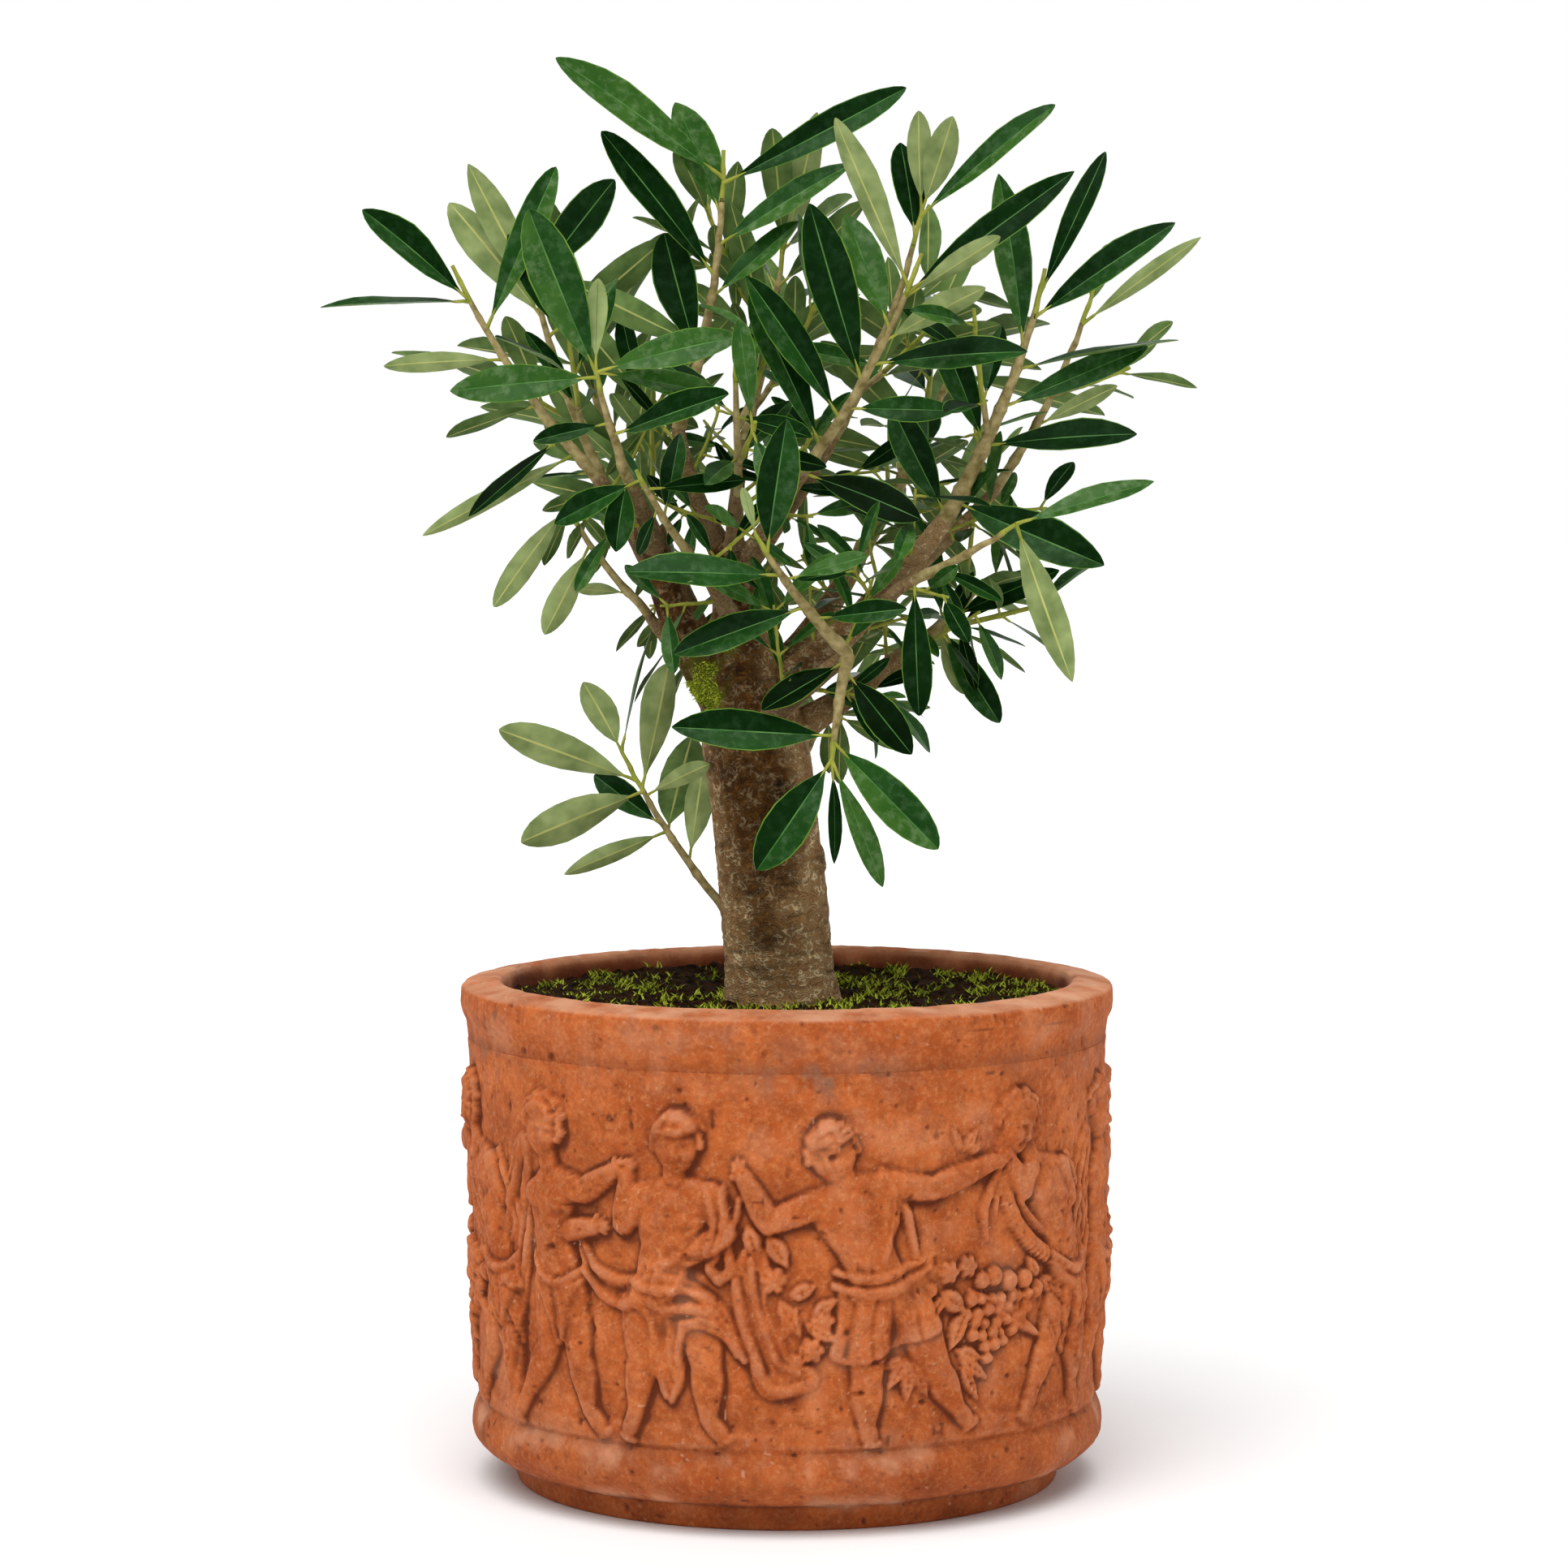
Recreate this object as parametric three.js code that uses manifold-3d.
// Olive bonsai in a round terracotta pot with a pressed frieze of dancing figures.
// Millimetres, +Z up, the viewer stands towards -Y. The origin is the centre of the pot's flat underside.
import * as THREE from "three";
import { ConvexGeometry } from "three/addons/geometries/ConvexGeometry.js";
import { mergeVertices } from "three/addons/utils/BufferGeometryUtils.js";
import Module from "manifold-3d";

// Driving dimensions

const gap = 0.3; // left between neighbouring pieces
const tidy = 0.02; // slivers smaller than this are smoothed away
const depthAxis = new THREE.Vector3(0, 1, 0);

const pot = {
  height: 231.5,
  footRadius: 125,
  footHeight: 11,
  footFlare: 2,
  ringRadius: 146, // roll moulding above the foot
  ringMiddle: 25,
  ringOverhang: 10, // how far the roll stands out over the foot
  ringTop: 38,
  wallFoot: 142.5, // outside radius of the wall above the roll
  wallHead: 147, // outside radius of the wall under the rim band
  bandBottom: 205,
  rimRadius: 150.5,
  rimRound: 9, // across the rounded top edge of the rim
  rimMiddle: 218, // the rim is widest up to here
  lipDepth: 6, // down the rounded inner edge of the mouth
  mouthRadius: 131,
  insideFoot: 118,
  floor: 16,
  sides: 44,
  curveSteps: 3,
};

const soil = { level: 221, edgeDrop: 3, flatRadius: 44 };

const trunk = {
  root: [-2, 0, soil.level - 8], // the foot is cut level with the soil
  bend: [-6.5, 0, 292],
  tip: [-19, 0, 368],
  radius: 24.6,
  flare: 2.8, // extra radius at the soil
  flareHeight: 12,
  crown: 19, // radius at the fork
  sides: 14,
  steps: 8,
};

// Each limb leaves its parent at a share of the parent's length, bends once and tapers from root to end radius.
const limbs = [
  {
    name: "bough_leader", on: "trunk", at: 0.93,
    bend: [-23, 1, 394], tip: [-24, 2, 424], root: 13.5, end: 10.5,
  },
  {
    name: "bough_left", on: "trunk", at: 0.84,
    bend: [-50, -3, 374], tip: [-62, -12, 438], root: 10, end: 6.6,
  },
  {
    name: "bough_right_high", on: "trunk", at: 0.9,
    bend: [36, -12, 394], tip: [72, -18, 442], root: 9, end: 4.4,
  },
  {
    name: "bough_right_low", on: "trunk", at: 0.78,
    bend: [32, 4, 362], tip: [66, 9, 388], root: 7.5, end: 3.8,
  },
  {
    name: "bough_front", on: "trunk", at: 0.86,
    bend: [2, -36, 362], tip: [28, -53, 383], root: 6.5, end: 3.4,
  },
  {
    name: "bough_back_left", on: "trunk", at: 0.88,
    bend: [-40, 34, 380], tip: [-54, 52, 420], root: 8.5, end: 4.4,
  },
  {
    name: "bough_back_right", on: "trunk", at: 0.92,
    bend: [14, 34, 388], tip: [34, 56, 424], root: 8.5, end: 4.4,
  },
  {
    name: "branch_top", on: "bough_leader", at: 0.9,
    bend: [-44, 1, 448], tip: [-50, 1, 484], root: 5, end: 3.2,
  },
  {
    name: "branch_centre", on: "bough_leader", at: 0.82,
    bend: [-9, -14, 440], tip: [8, -24, 464], root: 4.6, end: 2.9,
  },
  {
    name: "branch_upper_right", on: "bough_leader", at: 0.88,
    bend: [4, 10, 448], tip: [22, 18, 480], root: 4.6, end: 2.9,
  },
  {
    name: "branch_back", on: "bough_leader", at: 0.8,
    bend: [-26, 26, 442], tip: [-20, 40, 478], root: 4.6, end: 2.9,
  },
  {
    name: "branch_inner", on: "bough_leader", at: 0.94,
    bend: [-25, -12, 438], tip: [-22, -20, 454], root: 3.8, end: 2.4,
  },
  {
    name: "branch_left_outer", on: "bough_left", at: 0.93,
    bend: [-76, -7, 446], tip: [-87, -4, 461], root: 4.6, end: 3,
  },
  {
    name: "branch_left_front", on: "bough_left", at: 0.9,
    bend: [-64, -28, 444], tip: [-70, -37, 457], root: 4.4, end: 2.9,
  },
  {
    name: "branch_left_back", on: "bough_left", at: 0.8,
    bend: [-74, 12, 440], tip: [-85, 18, 460], root: 4.2, end: 2.7,
  },
  {
    name: "branch_left_low", on: "bough_left", at: 0.3,
    bend: [-58, -1, 388], tip: [-64, 0, 399], root: 3.2, end: 2.4,
  },
  {
    name: "branch_right_back", on: "bough_right_high", at: 0.72,
    bend: [82, 4, 438], tip: [98, 11, 458], root: 3.8, end: 2.6,
  },
  {
    name: "branch_mid_right", on: "bough_right_high", at: 0.5,
    bend: [44, -34, 408], tip: [58, -48, 416], root: 3.8, end: 2.6,
  },
  {
    name: "branch_mid_left", on: "bough_leader", at: 0.45,
    bend: [-32, -26, 412], tip: [-40, -36, 422], root: 3.8, end: 2.6,
  },
];
const limbSides = 6;
const limbSteps = 4;

// Each spray of foliage goes on from a limb's tip, or straight from the trunk where `at` is given.
// leaf: length of its longest leaves. spread: mean angle between leaf and stem, in degrees.
// roll: turn of its end pair of leaves, 0 lies across the view. sun: the way its upper leaf faces turn.
// droop: how far its leaves hang. twigs: side twigs along its first stem.
const facingViewer = [0, -0.85, 0.55];
const facingUp = [0, -0.3, 0.95];
const facingBack = [0, 0.75, 0.6];
const sprays = [
  {
    name: "spray_top", on: "branch_top", tips: [[-19, 10, 605]], leaf: 95, spread: 48,
    roll: 10, sun: facingViewer, droop: 0.05, twigs: 2, seed: 50,
  },
  {
    name: "spray_centre", on: "branch_centre", tips: [[55, -60, 566]], leaf: 89, spread: 47,
    roll: 30, sun: facingViewer, droop: 0.1, twigs: 2, seed: 14,
  },
  {
    name: "spray_left_outer", on: "branch_left_outer", tips: [[-153, 0, 558]], leaf: 74, spread: 49,
    roll: 75, sun: facingViewer, droop: 0, twigs: 2, seed: 148,
  },
  {
    name: "spray_left_front", on: "branch_left_front", tips: [[-81, -60, 506]], leaf: 76, spread: 68,
    roll: 5, sun: facingViewer, droop: 0, twigs: 1, seed: 13,
  },
  {
    name: "spray_right_high", on: "bough_right_high", tips: [[119, -20, 563]], leaf: 72, spread: 61,
    roll: 0, sun: facingViewer, droop: 0, twigs: 3, seed: 359,
  },
  {
    name: "spray_front", on: "bough_front", tips: [[-8, -85, 449], [29, -68, 333]], leaf: 72, spread: 43,
    roll: 15, sun: facingViewer, droop: 0, twigs: 0, seed: 299,
  },
  {
    name: "spray_low_left", on: "trunk", at: 0.13, tips: [[-90, 0, 354]], leaf: 67, spread: 62,
    roll: 55, sun: facingBack, droop: 0.1, twigs: 0, seed: 303,
  },
  {
    name: "spray_right_low", on: "bough_right_low", tips: [[91, 15, 414]], leaf: 59, spread: 60,
    roll: 80, sun: facingUp, droop: 0.35, twigs: 3, seed: 170,
  },
  {
    name: "spray_mid_right", on: "branch_mid_right", tips: [[102, -66, 441]], leaf: 68, spread: 42,
    roll: 75, sun: facingViewer, droop: 0.05, twigs: 1, seed: 7,
  },
  {
    name: "spray_mid_left", on: "branch_mid_left", tips: [[-67, -64, 465]], leaf: 67, spread: 68,
    roll: 45, sun: facingViewer, droop: 0.2, twigs: 1, seed: 398,
  },
  {
    name: "spray_inner", on: "branch_inner", tips: [[-23, -40, 516]], leaf: 58, spread: 51,
    roll: 60, sun: facingViewer, droop: 0.5, twigs: 2, seed: 317,
  },
  {
    name: "spray_upper_right", on: "branch_upper_right", tips: [[63, 30, 587]], leaf: 62, spread: 33,
    roll: 70, sun: facingBack, droop: 0, twigs: 2, seed: 112,
  },
  {
    name: "spray_left_low", on: "branch_left_low", tips: [[-101, 2, 448]], leaf: 58, spread: 68,
    roll: 25, sun: facingBack, droop: 1.05, twigs: 1, seed: 170,
  },
  {
    name: "spray_left_back", on: "branch_left_back", tips: [[-120, 36, 567]], leaf: 68, spread: 39,
    roll: 65, sun: facingViewer, droop: 0, twigs: 2, seed: 345,
  },
  {
    name: "spray_right_back", on: "branch_right_back", tips: [[142, 26, 548]], leaf: 60, spread: 29,
    roll: 30, sun: facingBack, droop: 0, twigs: 2, seed: 217,
  },
  {
    name: "spray_back", on: "branch_back", tips: [[-1, 84, 598]], leaf: 66, spread: 39,
    roll: 70, sun: facingBack, droop: 0, twigs: 3, seed: 11,
  },
  {
    name: "spray_back_left", on: "bough_back_left", tips: [[-104, 112, 537]], leaf: 74, spread: 42,
    roll: 85, sun: facingBack, droop: 0.1, twigs: 3, seed: 355,
  },
  {
    name: "spray_back_right", on: "bough_back_right", tips: [[87, 110, 534]], leaf: 78, spread: 68,
    roll: 100, sun: facingBack, droop: 0.4, twigs: 3, seed: 268,
  },
  {
    name: "spray_low_back", on: "trunk", at: 0.6, tips: [[41, 84, 395]], leaf: 61, spread: 43,
    roll: 75, sun: facingBack, droop: 0.05, twigs: 2, seed: 330,
  },
];

const leafRule = {
  spacing: 20, // between pairs along a stem
  stub: 9, // bare stem past the last pair
  firstPair: 6, // bare stem before the first pair
  turnPlay: 14, // degrees that a leaf may turn round its stem
  spreadPlay: 9, // degrees either way
  youngScale: 0.72, // length of the lowest leaves against the longest
  sizePlay: [0.86, 1.1],
  droopPlay: [0.6, 1.4],
  stemPull: 0.4, // how far a leaf's face turns along its stem, and towards the sun
  sunPull: 0.9,
  scatter: 0.45, // how unevenly the leaf faces turn
  halfWidth: [0.115, 0.145], // share of the leaf's length
  curl: [0.03, 0.13], // how far the tip bends back, as a share of the length
  fold: 0.18, // rise of the edges above the midrib, as a share of the half width
  thickness: 0.02, // at the middle of the midrib, as a share of the length
  stalk: 0.2, // the stalk starts this far from the middle of its twig
  lower: 0.36, // where the blade's lower and upper shoulders stand, as shares of the length
  upper: 0.72,
  clearance: 0.5,
};

const twigRule = {
  bow: 0.09, // how far a shoot swings outwards before it turns up, as a share of its length
  tipRadius: 0.9,
  angle: [40, 58], // degrees from the stem it leaves
  length: [44, 70],
  leafScale: 0.82,
  rootRadius: 1.5,
  stemSunk: 1, // a spray's stem starts this far inside its limb, and this much slimmer, before it is cut clear
  stemShare: 0.92,
  trunkShootRadius: 2.6,
  bareByTrunk: 24, // a shoot straight from the trunk carries no leaves this near it
  firstAt: 0.06,
  lastAt: 0.6,
  turn: 137.5, // degrees from one side twig to the next
};

// The frieze is one pressed panel, repeated round the wall. Joints are [along the wall, height].
const frieze = { panels: 3, relief: 0.42, sunk: 1.2, broadFrom: 12 };
const dancers = [
  {
    head: [-122, 173], chest: [-115, 142], hip: [-113, 110],
    elbowLeft: [-116, 130], handLeft: [-91, 134], elbowRight: [-95, 150], handRight: [-79, 161],
    kneeLeft: [-125, 80], footLeft: [-140, 48], kneeRight: [-101, 74], footRight: [-89, 45],
  },
  {
    head: [-49, 173], chest: [-50, 143], hip: [-56, 106],
    elbowLeft: [-74, 136], handLeft: [-71, 161], elbowRight: [-25, 135], handRight: [-38, 125],
    kneeLeft: [-70, 76], footLeft: [-74, 47], kneeRight: [-37, 74], footRight: [-31, 47],
  },
  {
    head: [20, 171], chest: [27, 143], hip: [41, 106],
    elbowLeft: [-8, 140], handLeft: [-20, 160], elbowRight: [66, 153], handRight: [99, 162],
    kneeLeft: [36, 70], footLeft: [38, 46], kneeRight: [70, 72], footRight: [85, 48],
  },
  {
    head: [112, 176], chest: [130, 146], hip: [150, 106],
    elbowLeft: [112, 150], handLeft: [104, 166], elbowRight: [150, 140], handRight: [164, 152],
    kneeLeft: [138, 76], footLeft: [125, 48], kneeRight: [163, 78], footRight: [162, 48],
  },
];
const bones = [
  ["head", "head", 13, 13],
  ["head", "chest", 6, 15],
  ["chest", "hip", 15, 14.5],
  ["chest", "elbowLeft", 7.5, 6.5],
  ["elbowLeft", "handLeft", 7, 5.5],
  ["chest", "elbowRight", 7.5, 6.5],
  ["elbowRight", "handRight", 7, 5.5],
  ["hip", "kneeLeft", 11, 8.5],
  ["kneeLeft", "footLeft", 8.5, 5.5],
  ["hip", "kneeRight", 11, 8.5],
  ["kneeRight", "footRight", 8.5, 5.5],
];
// Skirts, bunches of fruit and hanging cloth: [along, height] at each end, and radii.
const swags = [
  [[-112, 104], [-103, 84], 13, 7],
  [[-60, 102], [-66, 82], 12, 7],
  [[34, 102], [29, 84], 12, 8],
  [[48, 102], [62, 86], 12, 8],
  [[-27, 104], [-10, 76], 8, 9],
  [[-10, 76], [18, 80], 9, 7],
  [[-4, 114], [11, 100], 9, 11],
  [[86, 104], [95, 84], 13, 8],
  [[111, 138], [128, 118], 6, 7],
  [[128, 118], [152, 110], 7, 7],
];

const finish = {
  clay: { color: 0xb8623a, roughness: 0.9, metalness: 0 },
  soil: { color: 0x2b1d14, roughness: 1, metalness: 0 },
  bark: { color: 0x7a6249, roughness: 0.85, metalness: 0 },
  leaf: { color: 0x2f5a33, roughness: 0.45, metalness: 0 },
};

// Solids

const wasm = await Module();
wasm.setup();

function solidOf(geometry) {
  const bare = geometry.clone();
  bare.deleteAttribute("normal");
  bare.deleteAttribute("uv");
  const merged = mergeVertices(bare, 1e-4);
  return new wasm.Manifold(
    new wasm.Mesh({
      numProp: 3,
      vertProperties: merged.attributes.position.array,
      triVerts: new Uint32Array(merged.index.array),
    }),
  );
}

function geometryOf(solid) {
  const { vertProperties, triVerts } = solid.getMesh();
  const geometry = new THREE.BufferGeometry();
  geometry.setAttribute("position", new THREE.BufferAttribute(new Float32Array(vertProperties), 3));
  geometry.setIndex(new THREE.BufferAttribute(new Uint32Array(triVerts), 1));
  geometry.computeVertexNormals();
  return geometry;
}

function joined(solids) {
  return solids.reduce((all, solid) => all.add(solid));
}

// The main body of a cut or joined solid: loose scraps are dropped and a hollow sealed inside is filled.
function mainBody(solid) {
  const bodies = solid.decompose();
  return bodies.reduce((largest, body) => (body.volume() > largest.volume() ? body : largest));
}

function boxOf(solid) {
  const { min, max } = solid.boundingBox();
  return new THREE.Box3(new THREE.Vector3(...min), new THREE.Vector3(...max));
}

function vector([x, y, z]) {
  return new THREE.Vector3(x, y, z);
}

// Two directions square to a path that stay steady along it.
function sideDirections(path, t) {
  const chord = path.getPoint(1).sub(path.getPoint(0)).normalize();
  const reference = Math.abs(chord.y) < 0.8 ? depthAxis : new THREE.Vector3(1, 0, 0);
  const along = path.getTangent(t);
  const first = new THREE.Vector3().crossVectors(along, reference).normalize();
  const second = new THREE.Vector3().crossVectors(first, along).normalize();
  return [first, second];
}

// A closed round bar along a path, its radius following radiusAt.
function taperedBar(path, radiusAt, sides, steps) {
  const geometry = new THREE.CylinderGeometry(1, 1, 1, sides, steps);
  const place = geometry.attributes.position;
  for (let i = 0; i < place.count; i++) {
    const t = place.getY(i) + 0.5;
    const [first, second] = sideDirections(path, t);
    const radius = radiusAt(t);
    const point = path
      .getPoint(t)
      .addScaledVector(first, place.getX(i) * radius)
      .addScaledVector(second, place.getZ(i) * radius);
    place.setXYZ(i, point.x, point.y, point.z);
  }
  return solidOf(geometry);
}

// Pot and soil

function wallRadiusAt(height) {
  const share = (height - pot.ringTop) / (pot.bandBottom - pot.ringTop);
  return THREE.MathUtils.lerp(pot.wallFoot, pot.wallHead, share);
}

function insideRadiusAt(height) {
  const share = (height - pot.floor) / (pot.height - pot.floor);
  return THREE.MathUtils.lerp(pot.insideFoot, pot.mouthRadius - 1, share);
}

// A point lifted off the pot's outer wall. Along runs round the wall to the viewer's right.
function onWall(along, height, lift, turn) {
  const angle = along / pot.wallHead + turn;
  const radius = wallRadiusAt(height) + lift;
  return new THREE.Vector3(radius * Math.sin(angle), -radius * Math.cos(angle), height);
}

// A ball pressed flat against the wall: round along the wall, low in relief.
function pressedBall([along, height], radius, turn) {
  const centre = onWall(along, height, 0, turn);
  const outward = new THREE.Vector3(centre.x, centre.y, 0).normalize();
  const place = new THREE.IcosahedronGeometry(radius).attributes.position;
  return Array.from({ length: place.count }, (_, i) => {
    const point = new THREE.Vector3().fromBufferAttribute(place, i);
    return point.addScaledVector(outward, point.dot(outward) * (frieze.relief - 1)).add(centre);
  });
}

// One end of a ridge that runs along a limb: its two foot points, sunk in the wall, and its crest.
function ridgeEnd([along, height], [alongStep, heightStep], radius, turn) {
  return [
    onWall(along - heightStep * radius, height + alongStep * radius, -frieze.sunk, turn),
    onWall(along + heightStep * radius, height - alongStep * radius, -frieze.sunk, turn),
    onWall(along, height, radius * frieze.relief, turn),
  ];
}

// A piece of a figure: a broad one is the hull of a pressed ball at each end, a slim one is a ridge.
function pressedLimb(from, to, fromRadius, toRadius, turn) {
  const broad = Math.min(fromRadius, toRadius) > frieze.broadFrom;
  const step = new THREE.Vector2(to[0] - from[0], to[1] - from[1]).normalize().toArray();
  const points = broad
    ? [...pressedBall(from, fromRadius, turn), ...pressedBall(to, toRadius, turn)]
    : [...ridgeEnd(from, step, fromRadius, turn), ...ridgeEnd(to, step, toRadius, turn)];
  return solidOf(new ConvexGeometry(points));
}

function friezePanel(turn) {
  const figures = dancers.flatMap((joints) =>
    bones.map(([from, to, fromRadius, toRadius]) =>
      pressedLimb(joints[from], joints[to], fromRadius, toRadius, turn),
    ),
  );
  const cloth = swags.map(([from, to, fromRadius, toRadius]) =>
    pressedLimb(from, to, fromRadius, toRadius, turn),
  );
  return joined([...figures, ...cloth]);
}

function potSolid() {
  const ringLow = THREE.MathUtils.lerp(pot.footHeight, pot.ringMiddle, 0.6);
  const ringHigh = THREE.MathUtils.lerp(pot.ringMiddle, pot.ringTop, 0.7);
  const outline = new THREE.Path();
  outline.moveTo(0, 0);
  outline.lineTo(pot.footRadius, 0);
  outline.lineTo(pot.footRadius + pot.footFlare, pot.footHeight);
  outline.lineTo(pot.ringRadius - pot.ringOverhang, pot.footHeight + pot.footFlare);
  outline.quadraticCurveTo(pot.ringRadius, ringLow, pot.ringRadius, pot.ringMiddle);
  outline.quadraticCurveTo(pot.ringRadius, ringHigh, pot.wallFoot, pot.ringTop);
  outline.lineTo(pot.wallHead, pot.bandBottom);
  outline.quadraticCurveTo(pot.rimRadius, pot.bandBottom, pot.rimRadius, pot.rimMiddle);
  outline.quadraticCurveTo(pot.rimRadius, pot.height, pot.rimRadius - pot.rimRound, pot.height);
  outline.quadraticCurveTo(pot.mouthRadius, pot.height, pot.mouthRadius - 1, pot.height - pot.lipDepth);
  outline.lineTo(pot.insideFoot, pot.floor);
  outline.lineTo(0, pot.floor);
  const lathe = new THREE.LatheGeometry(outline.getPoints(pot.curveSteps), pot.sides).rotateX(Math.PI / 2);
  const panels = Array.from({ length: frieze.panels }, (_, i) =>
    friezePanel((i * 2 * Math.PI) / frieze.panels),
  );
  return mainBody(joined([solidOf(lathe), ...panels])).simplify(tidy);
}

function soilSolid() {
  const edge = soil.level - soil.edgeDrop;
  const outline = [
    new THREE.Vector2(0, pot.floor + gap),
    new THREE.Vector2(insideRadiusAt(pot.floor) - 2 * gap, pot.floor + gap),
    new THREE.Vector2(insideRadiusAt(edge) - 2 * gap, edge),
    new THREE.Vector2(soil.flatRadius, soil.level - gap),
    new THREE.Vector2(0, soil.level - gap),
  ];
  return solidOf(new THREE.LatheGeometry(outline, pot.sides).rotateX(Math.PI / 2));
}

// Trunk and limbs

function trunkRadiusAt(t, path) {
  const rise = path.getPoint(t).z - soil.level;
  const flare = trunk.flare * Math.exp(-rise / trunk.flareHeight);
  const narrowing = THREE.MathUtils.smoothstep(t, 0.8, 1) * (trunk.radius - trunk.crown);
  return trunk.radius + flare - narrowing;
}

// Every woody piece is kept with its path and radius, so that what grows on it can be cut clear of it.
function growTrunk() {
  const path = new THREE.QuadraticBezierCurve3(vector(trunk.root), vector(trunk.bend), vector(trunk.tip));
  const radiusAt = (t) => trunkRadiusAt(t, path);
  return woodyPiece("trunk", path, radiusAt, trunk.sides, trunk.steps, true);
}

function woodyPiece(name, path, radiusAt, sides, steps, levelFoot) {
  const lengthened = path.clone();
  lengthened.v2.addScaledVector(path.getTangent(1), gap);
  const wood = taperedBar(path, radiusAt, sides, steps);
  const clearRadiusAt = (t) => radiusAt(t) + gap / Math.cos(Math.PI / sides);
  const cutter = taperedBar(lengthened, clearRadiusAt, sides, steps);
  const piece = { name, path, radiusAt, solid: wood, cutter };
  return levelFoot ? { ...piece, solid: cutLevel(wood) } : piece;
}

// Nothing of the trunk reaches below the soil.
function cutLevel(solid) {
  const size = 4 * trunk.radius;
  const below = new THREE.BoxGeometry(size, size, size).translate(0, 0, soil.level - size / 2);
  return solid.subtract(solidOf(below));
}

function growLimbs(trunkPiece) {
  const wood = new Map([["trunk", trunkPiece]]);
  for (const limb of limbs) {
    const parent = wood.get(limb.on);
    const start = parent.path.getPoint(limb.at);
    const path = new THREE.QuadraticBezierCurve3(start, vector(limb.bend), vector(limb.tip));
    const radiusAt = (t) => THREE.MathUtils.lerp(limb.root, limb.end, t);
    const piece = woodyPiece(limb.name, path, radiusAt, limbSides, limbSteps, false);
    for (const earlier of wood.values()) {
      if (boxOf(piece.solid).intersectsBox(boxOf(earlier.cutter))) {
        piece.solid = mainBody(piece.solid.subtract(earlier.cutter));
      }
    }
    wood.set(limb.name, piece);
  }
  return wood;
}

// Foliage

// The same draws come from the same seed, so the plant always grows the same way.
function drawsFrom(seed) {
  let state = seed;
  const next = () => {
    state = (state * 48271) % 2147483647;
    return state / 2147483647;
  };
  for (let i = 0; i < 5; i++) next();
  return { between: ([low, high]) => low + (high - low) * next() };
}

function shootPath(start, tip) {
  const length = start.distanceTo(tip);
  const outward = new THREE.Vector3(tip.x - start.x, tip.y - start.y, 0).normalize();
  const bend = start.clone().lerp(tip, 0.5).addScaledVector(outward, twigRule.bow * length);
  return new THREE.QuadraticBezierCurve3(start, bend, tip);
}

// Where a spray's stem starts: inside its limb's tip, or on the trunk's middle line.
function stemRoot(spray, parent) {
  if (spray.at === undefined) {
    const start = parent.path.getPoint(1).addScaledVector(parent.path.getTangent(1), -twigRule.stemSunk);
    return { start, radius: parent.radiusAt(1) * twigRule.stemShare, bare: 0 };
  }
  const bare = parent.radiusAt(spray.at) + twigRule.bareByTrunk;
  return { start: parent.path.getPoint(spray.at), radius: twigRule.trunkShootRadius, bare };
}

function mainShoots(spray, parent) {
  const { start, radius, bare } = stemRoot(spray, parent);
  return spray.tips.map((tip, i) => ({
    path: shootPath(start.clone(), vector(tip)),
    rootRadius: radius,
    bare,
    leaf: spray.leaf,
    roll: spray.roll,
    seed: spray.seed * 100 + i,
  }));
}

// Side twigs leave the spray's first stem in turn, at even steps and a steady angle round it.
function sideTwigs(spray, main) {
  const draws = drawsFrom(spray.seed);
  return Array.from({ length: spray.twigs }, (_, i) => {
    const t = THREE.MathUtils.lerp(twigRule.firstAt, twigRule.lastAt, (i + 0.5) / spray.twigs);
    const azimuth = THREE.MathUtils.degToRad(spray.roll + 45 + twigRule.turn * i);
    const angle = THREE.MathUtils.degToRad(draws.between(twigRule.angle));
    const length = draws.between(twigRule.length);
    const start = main.path.getPoint(t);
    const tip = start.clone().addScaledVector(leavingDirection(main.path, t, azimuth, angle), length);
    return {
      path: shootPath(start, tip),
      rootRadius: twigRule.rootRadius,
      bare: 0,
      leaf: spray.leaf * twigRule.leafScale,
      roll: spray.roll + 60 * (i + 1),
      seed: spray.seed * 100 + 50 + i,
    };
  });
}

// The direction at an angle to a stem, turned round it by an azimuth. Azimuth 0 lies across the view.
function leavingDirection(path, t, azimuth, angle) {
  const along = path.getTangent(t);
  const across = new THREE.Vector3().crossVectors(along, depthAxis).normalize();
  const towards = new THREE.Vector3().crossVectors(along, across);
  return along
    .multiplyScalar(Math.cos(angle))
    .addScaledVector(across, Math.sin(angle) * Math.cos(azimuth))
    .addScaledVector(towards, Math.sin(angle) * Math.sin(azimuth));
}

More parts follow.
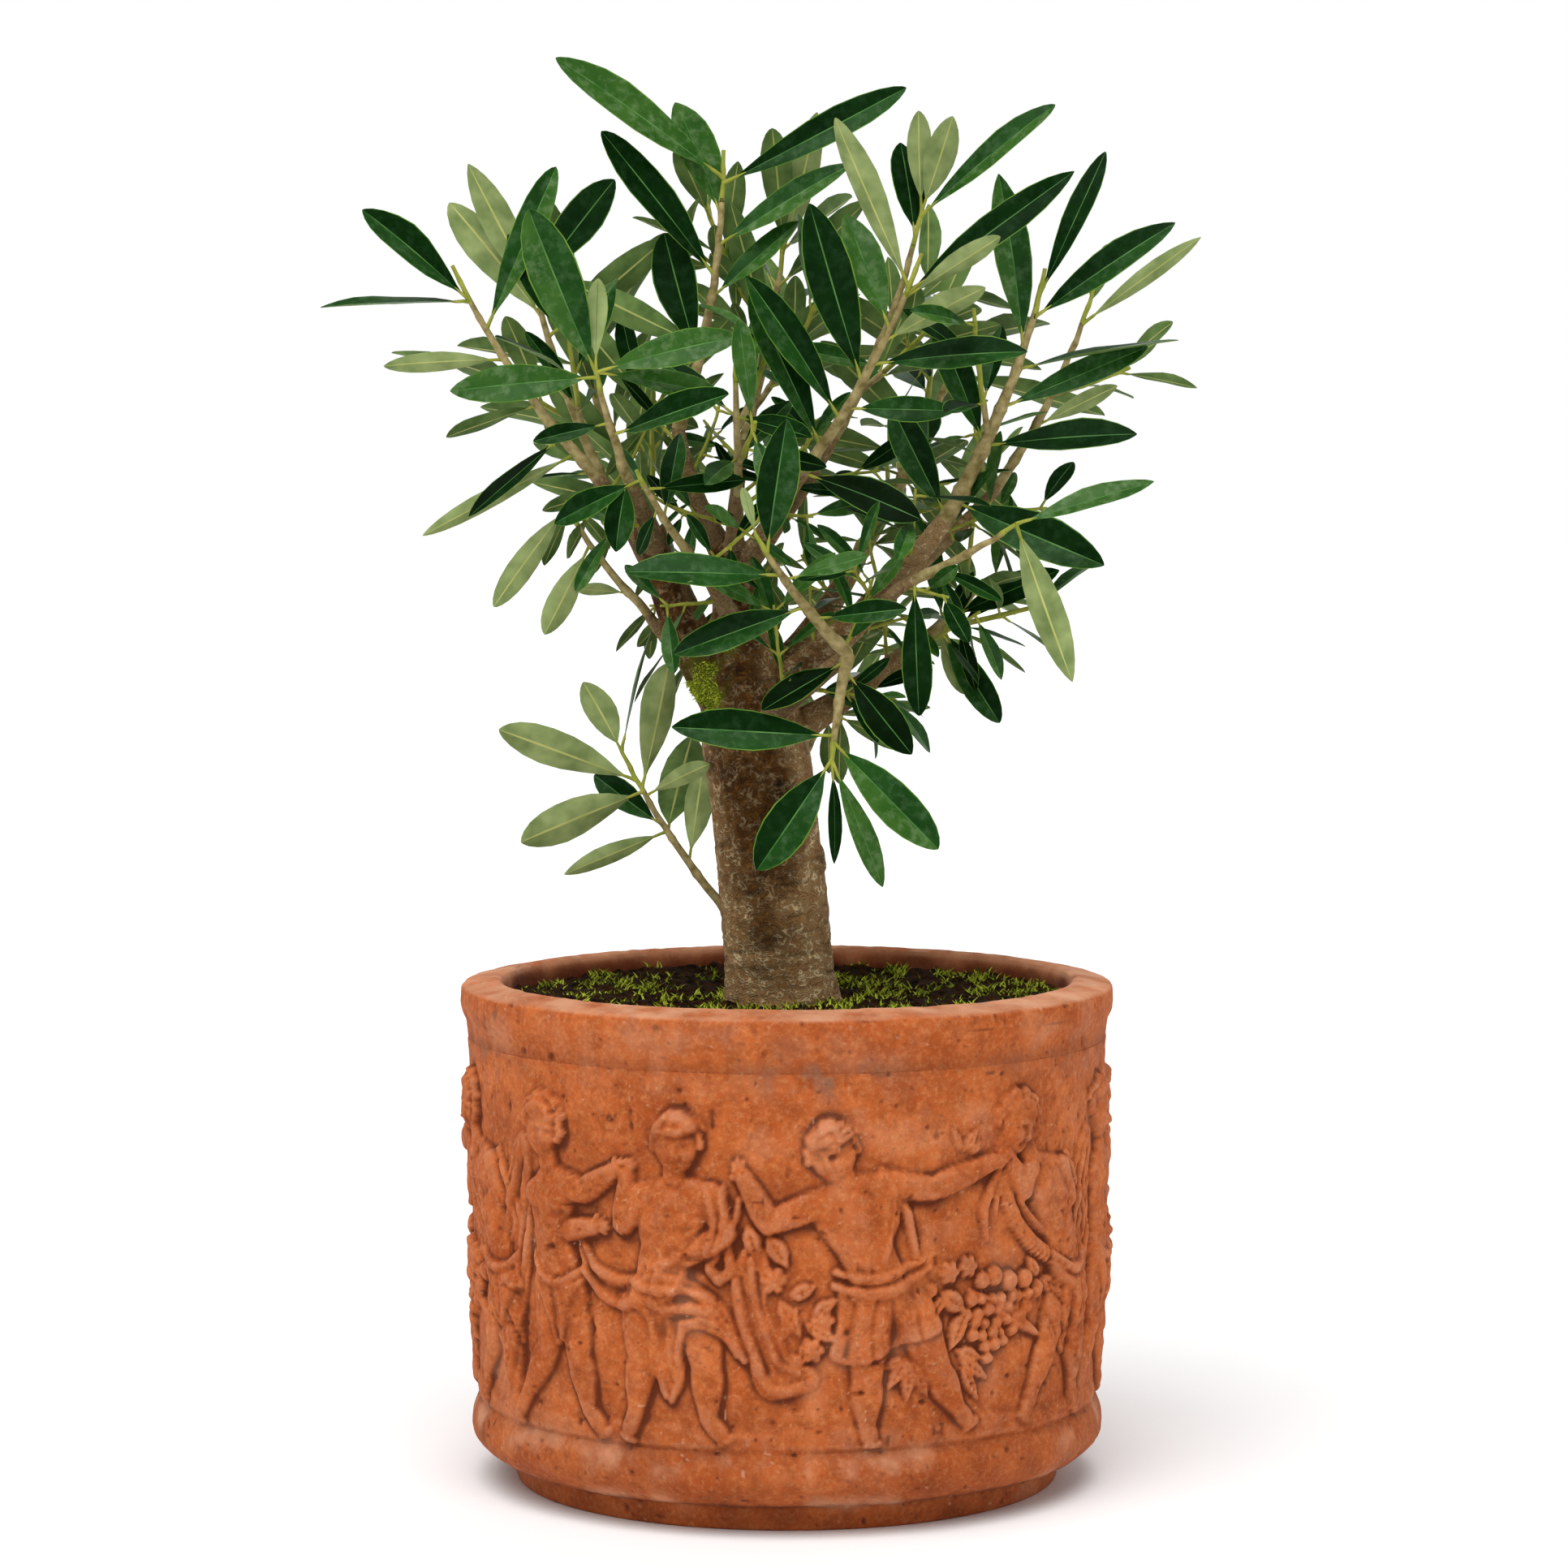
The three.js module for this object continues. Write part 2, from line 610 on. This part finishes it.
// Leaves stand in opposite pairs, each pair a quarter turn from the next, counted from the tip down.
function leavesOf(spray, shoot) {
  const draws = drawsFrom(shoot.seed);
  const length = shoot.path.getLength();
  const sun = vector(spray.sun);
  const leafyLength = length - leafRule.stub - leafRule.firstPair - shoot.bare;
  const pairs = Math.max(2, Math.floor(leafyLength / leafRule.spacing) + 1);
  const leaves = [];
  for (let pair = 0; pair < pairs; pair++) {
    const t = 1 - (leafRule.stub + pair * leafRule.spacing) / length;
    for (const half of [0, 180]) {
      const turn = draws.between([-leafRule.turnPlay, leafRule.turnPlay]);
      const azimuth = THREE.MathUtils.degToRad(shoot.roll + 90 * pair + half + turn);
      const play = draws.between([-leafRule.spreadPlay, leafRule.spreadPlay]);
      const spread = THREE.MathUtils.degToRad(spray.spread + play);
      const direction = leavingDirection(shoot.path, t, azimuth, spread);
      direction.z -= spray.droop * draws.between(leafRule.droopPlay);
      direction.normalize();
      const face = shoot.path.getTangent(t).multiplyScalar(leafRule.stemPull);
      face.addScaledVector(sun, leafRule.sunPull);
      face.x += draws.between([-leafRule.scatter, leafRule.scatter]);
      face.y += draws.between([-leafRule.scatter, leafRule.scatter]);
      face.z += draws.between([-leafRule.scatter, leafRule.scatter]);
      face.addScaledVector(direction, -face.dot(direction)).normalize();
      const grownSize = THREE.MathUtils.lerp(leafRule.youngScale, 1, Math.max(0, t));
      const size = grownSize * draws.between(leafRule.sizePlay);
      leaves.push({
        root: shoot.path.getPoint(Math.max(0, t)),
        direction,
        face,
        length: shoot.leaf * size,
        halfWidth: shoot.leaf * size * draws.between(leafRule.halfWidth),
        curl: draws.between(leafRule.curl),
        node: pair,
        grows: t * length > shoot.bare + leafRule.firstPair / 2,
      });
    }
  }
  return leaves;
}

// A leaf is a thin six-cornered blade: stalk, two shoulders a side and a tip, its edges above the midrib.
function leafSolid(leaf, clear) {
  const blade = new THREE.SphereGeometry(1, 6, 2);
  const across = new THREE.Vector3().crossVectors(leaf.direction, leaf.face);
  const shoulder = (x) => (x < 0 ? leafRule.lower : leafRule.upper);
  const middle = (leafRule.lower + leafRule.upper) / 2;
  const place = blade.attributes.position;
  for (let i = 0; i < place.count; i++) {
    const [x, y, z] = [place.getX(i), place.getY(i), place.getZ(i)];
    const onMidrib = Math.abs(z) < 1e-6;
    const onFace = Math.abs(y) > 0.5;
    const s = onFace ? middle : onMidrib ? (1 + Math.sign(x)) / 2 : shoulder(x);
    const start = s === 0 ? leafRule.stalk : 0;
    const point = leaf.root
      .clone()
      .addScaledVector(leaf.direction, leaf.length * s + start + clear * s)
      .addScaledVector(leaf.face, -leaf.curl * leaf.length * s * s);
    if (onFace) {
      point.addScaledVector(leaf.face, y > 0 ? clear : -leaf.length * leafRule.thickness - clear);
    } else if (!onMidrib) {
      point.addScaledVector(across, Math.sign(z) * (leaf.halfWidth + clear));
      point.addScaledVector(leaf.face, leaf.halfWidth * leafRule.fold);
    }
    place.setXYZ(i, point.x, point.y, point.z);
  }
  return solidOf(blade);
}

function stemSolid(shoot) {
  const steps = Math.max(3, Math.round(shoot.path.getLength() / 24));
  const radiusAt = (t) => THREE.MathUtils.lerp(shoot.rootRadius, twigRule.tipRadius, t);
  return taperedBar(shoot.path, radiusAt, 3, steps);
}

// Pieces already in place, so that a twig or leaf that would touch a limb or another leaf is left out.
class Room {
  constructor() {
    this.taken = [];
  }

  add(solid, owner, shoot, node) {
    this.taken.push({ solid, box: boxOf(solid), owner, shoot, node });
  }

  isFree(solid, passes) {
    const box = boxOf(solid);
    return !this.taken.some(
      (piece) => !passes(piece) && box.intersectsBox(piece.box) && solid.intersect(piece.solid).volume() > 0,
    );
  }
}

function growLeaves(room, spray, shoot, solids) {
  for (const leaf of leavesOf(spray, shoot)) {
    const ownStem = (piece) => piece.owner === spray.name && piece.node === "stem";
    const ownPair = (piece) => piece.shoot === shoot.seed && piece.node === leaf.node;
    const space = leafSolid(leaf, leafRule.clearance);
    if (leaf.grows && room.isFree(space, (piece) => ownStem(piece) || ownPair(piece))) {
      const solid = leafSolid(leaf, 0);
      room.add(solid, spray.name, shoot.seed, leaf.node);
      solids.push(solid);
    }
  }
}

function growSprays(wood) {
  const room = new Room();
  wood.forEach((piece) => room.add(piece.solid, piece.name, 0, "limb"));
  const grown = sprays.map((spray) => {
    const main = mainShoots(spray, wood.get(spray.on));
    const solids = main.map(stemSolid);
    solids.forEach((solid, i) => room.add(solid, spray.name, main[i].seed, "stem"));
    return { spray, main, solids };
  });
  for (const { spray, main, solids } of grown) {
    main.forEach((shoot) => growLeaves(room, spray, shoot, solids));
  }
  for (const { spray, main, solids } of grown) {
    for (const twig of sideTwigs(spray, main[0])) {
      const solid = stemSolid(twig);
      if (room.isFree(solid, (piece) => piece.owner === spray.name)) {
        room.add(solid, spray.name, twig.seed, "stem");
        solids.push(solid);
        growLeaves(room, spray, twig, solids);
      }
    }
  }
  return grown.map(({ spray, solids }) => ({
    name: spray.name,
    solid: mainBody(joined(solids).subtract(wood.get(spray.on).cutter)).simplify(tidy),
  }));
}

// Assembly

const bonsai = new THREE.Group();
bonsai.name = "olive_bonsai";

function addPiece(group, name, solid, look) {
  const mesh = new THREE.Mesh(geometryOf(solid), new THREE.MeshStandardMaterial(look));
  mesh.name = name;
  group.add(mesh);
}

const container = new THREE.Group();
addPiece(container, "pot", potSolid(), finish.clay);
addPiece(container, "soil", soilSolid(), finish.soil);
bonsai.add(container);

const tree = new THREE.Group();
const wood = growLimbs(growTrunk());
wood.forEach((piece) => addPiece(tree, piece.name, piece.solid, finish.bark));
growSprays(wood).forEach((spray) => addPiece(tree, spray.name, spray.solid, finish.leaf));
bonsai.add(tree);

export default bonsai;
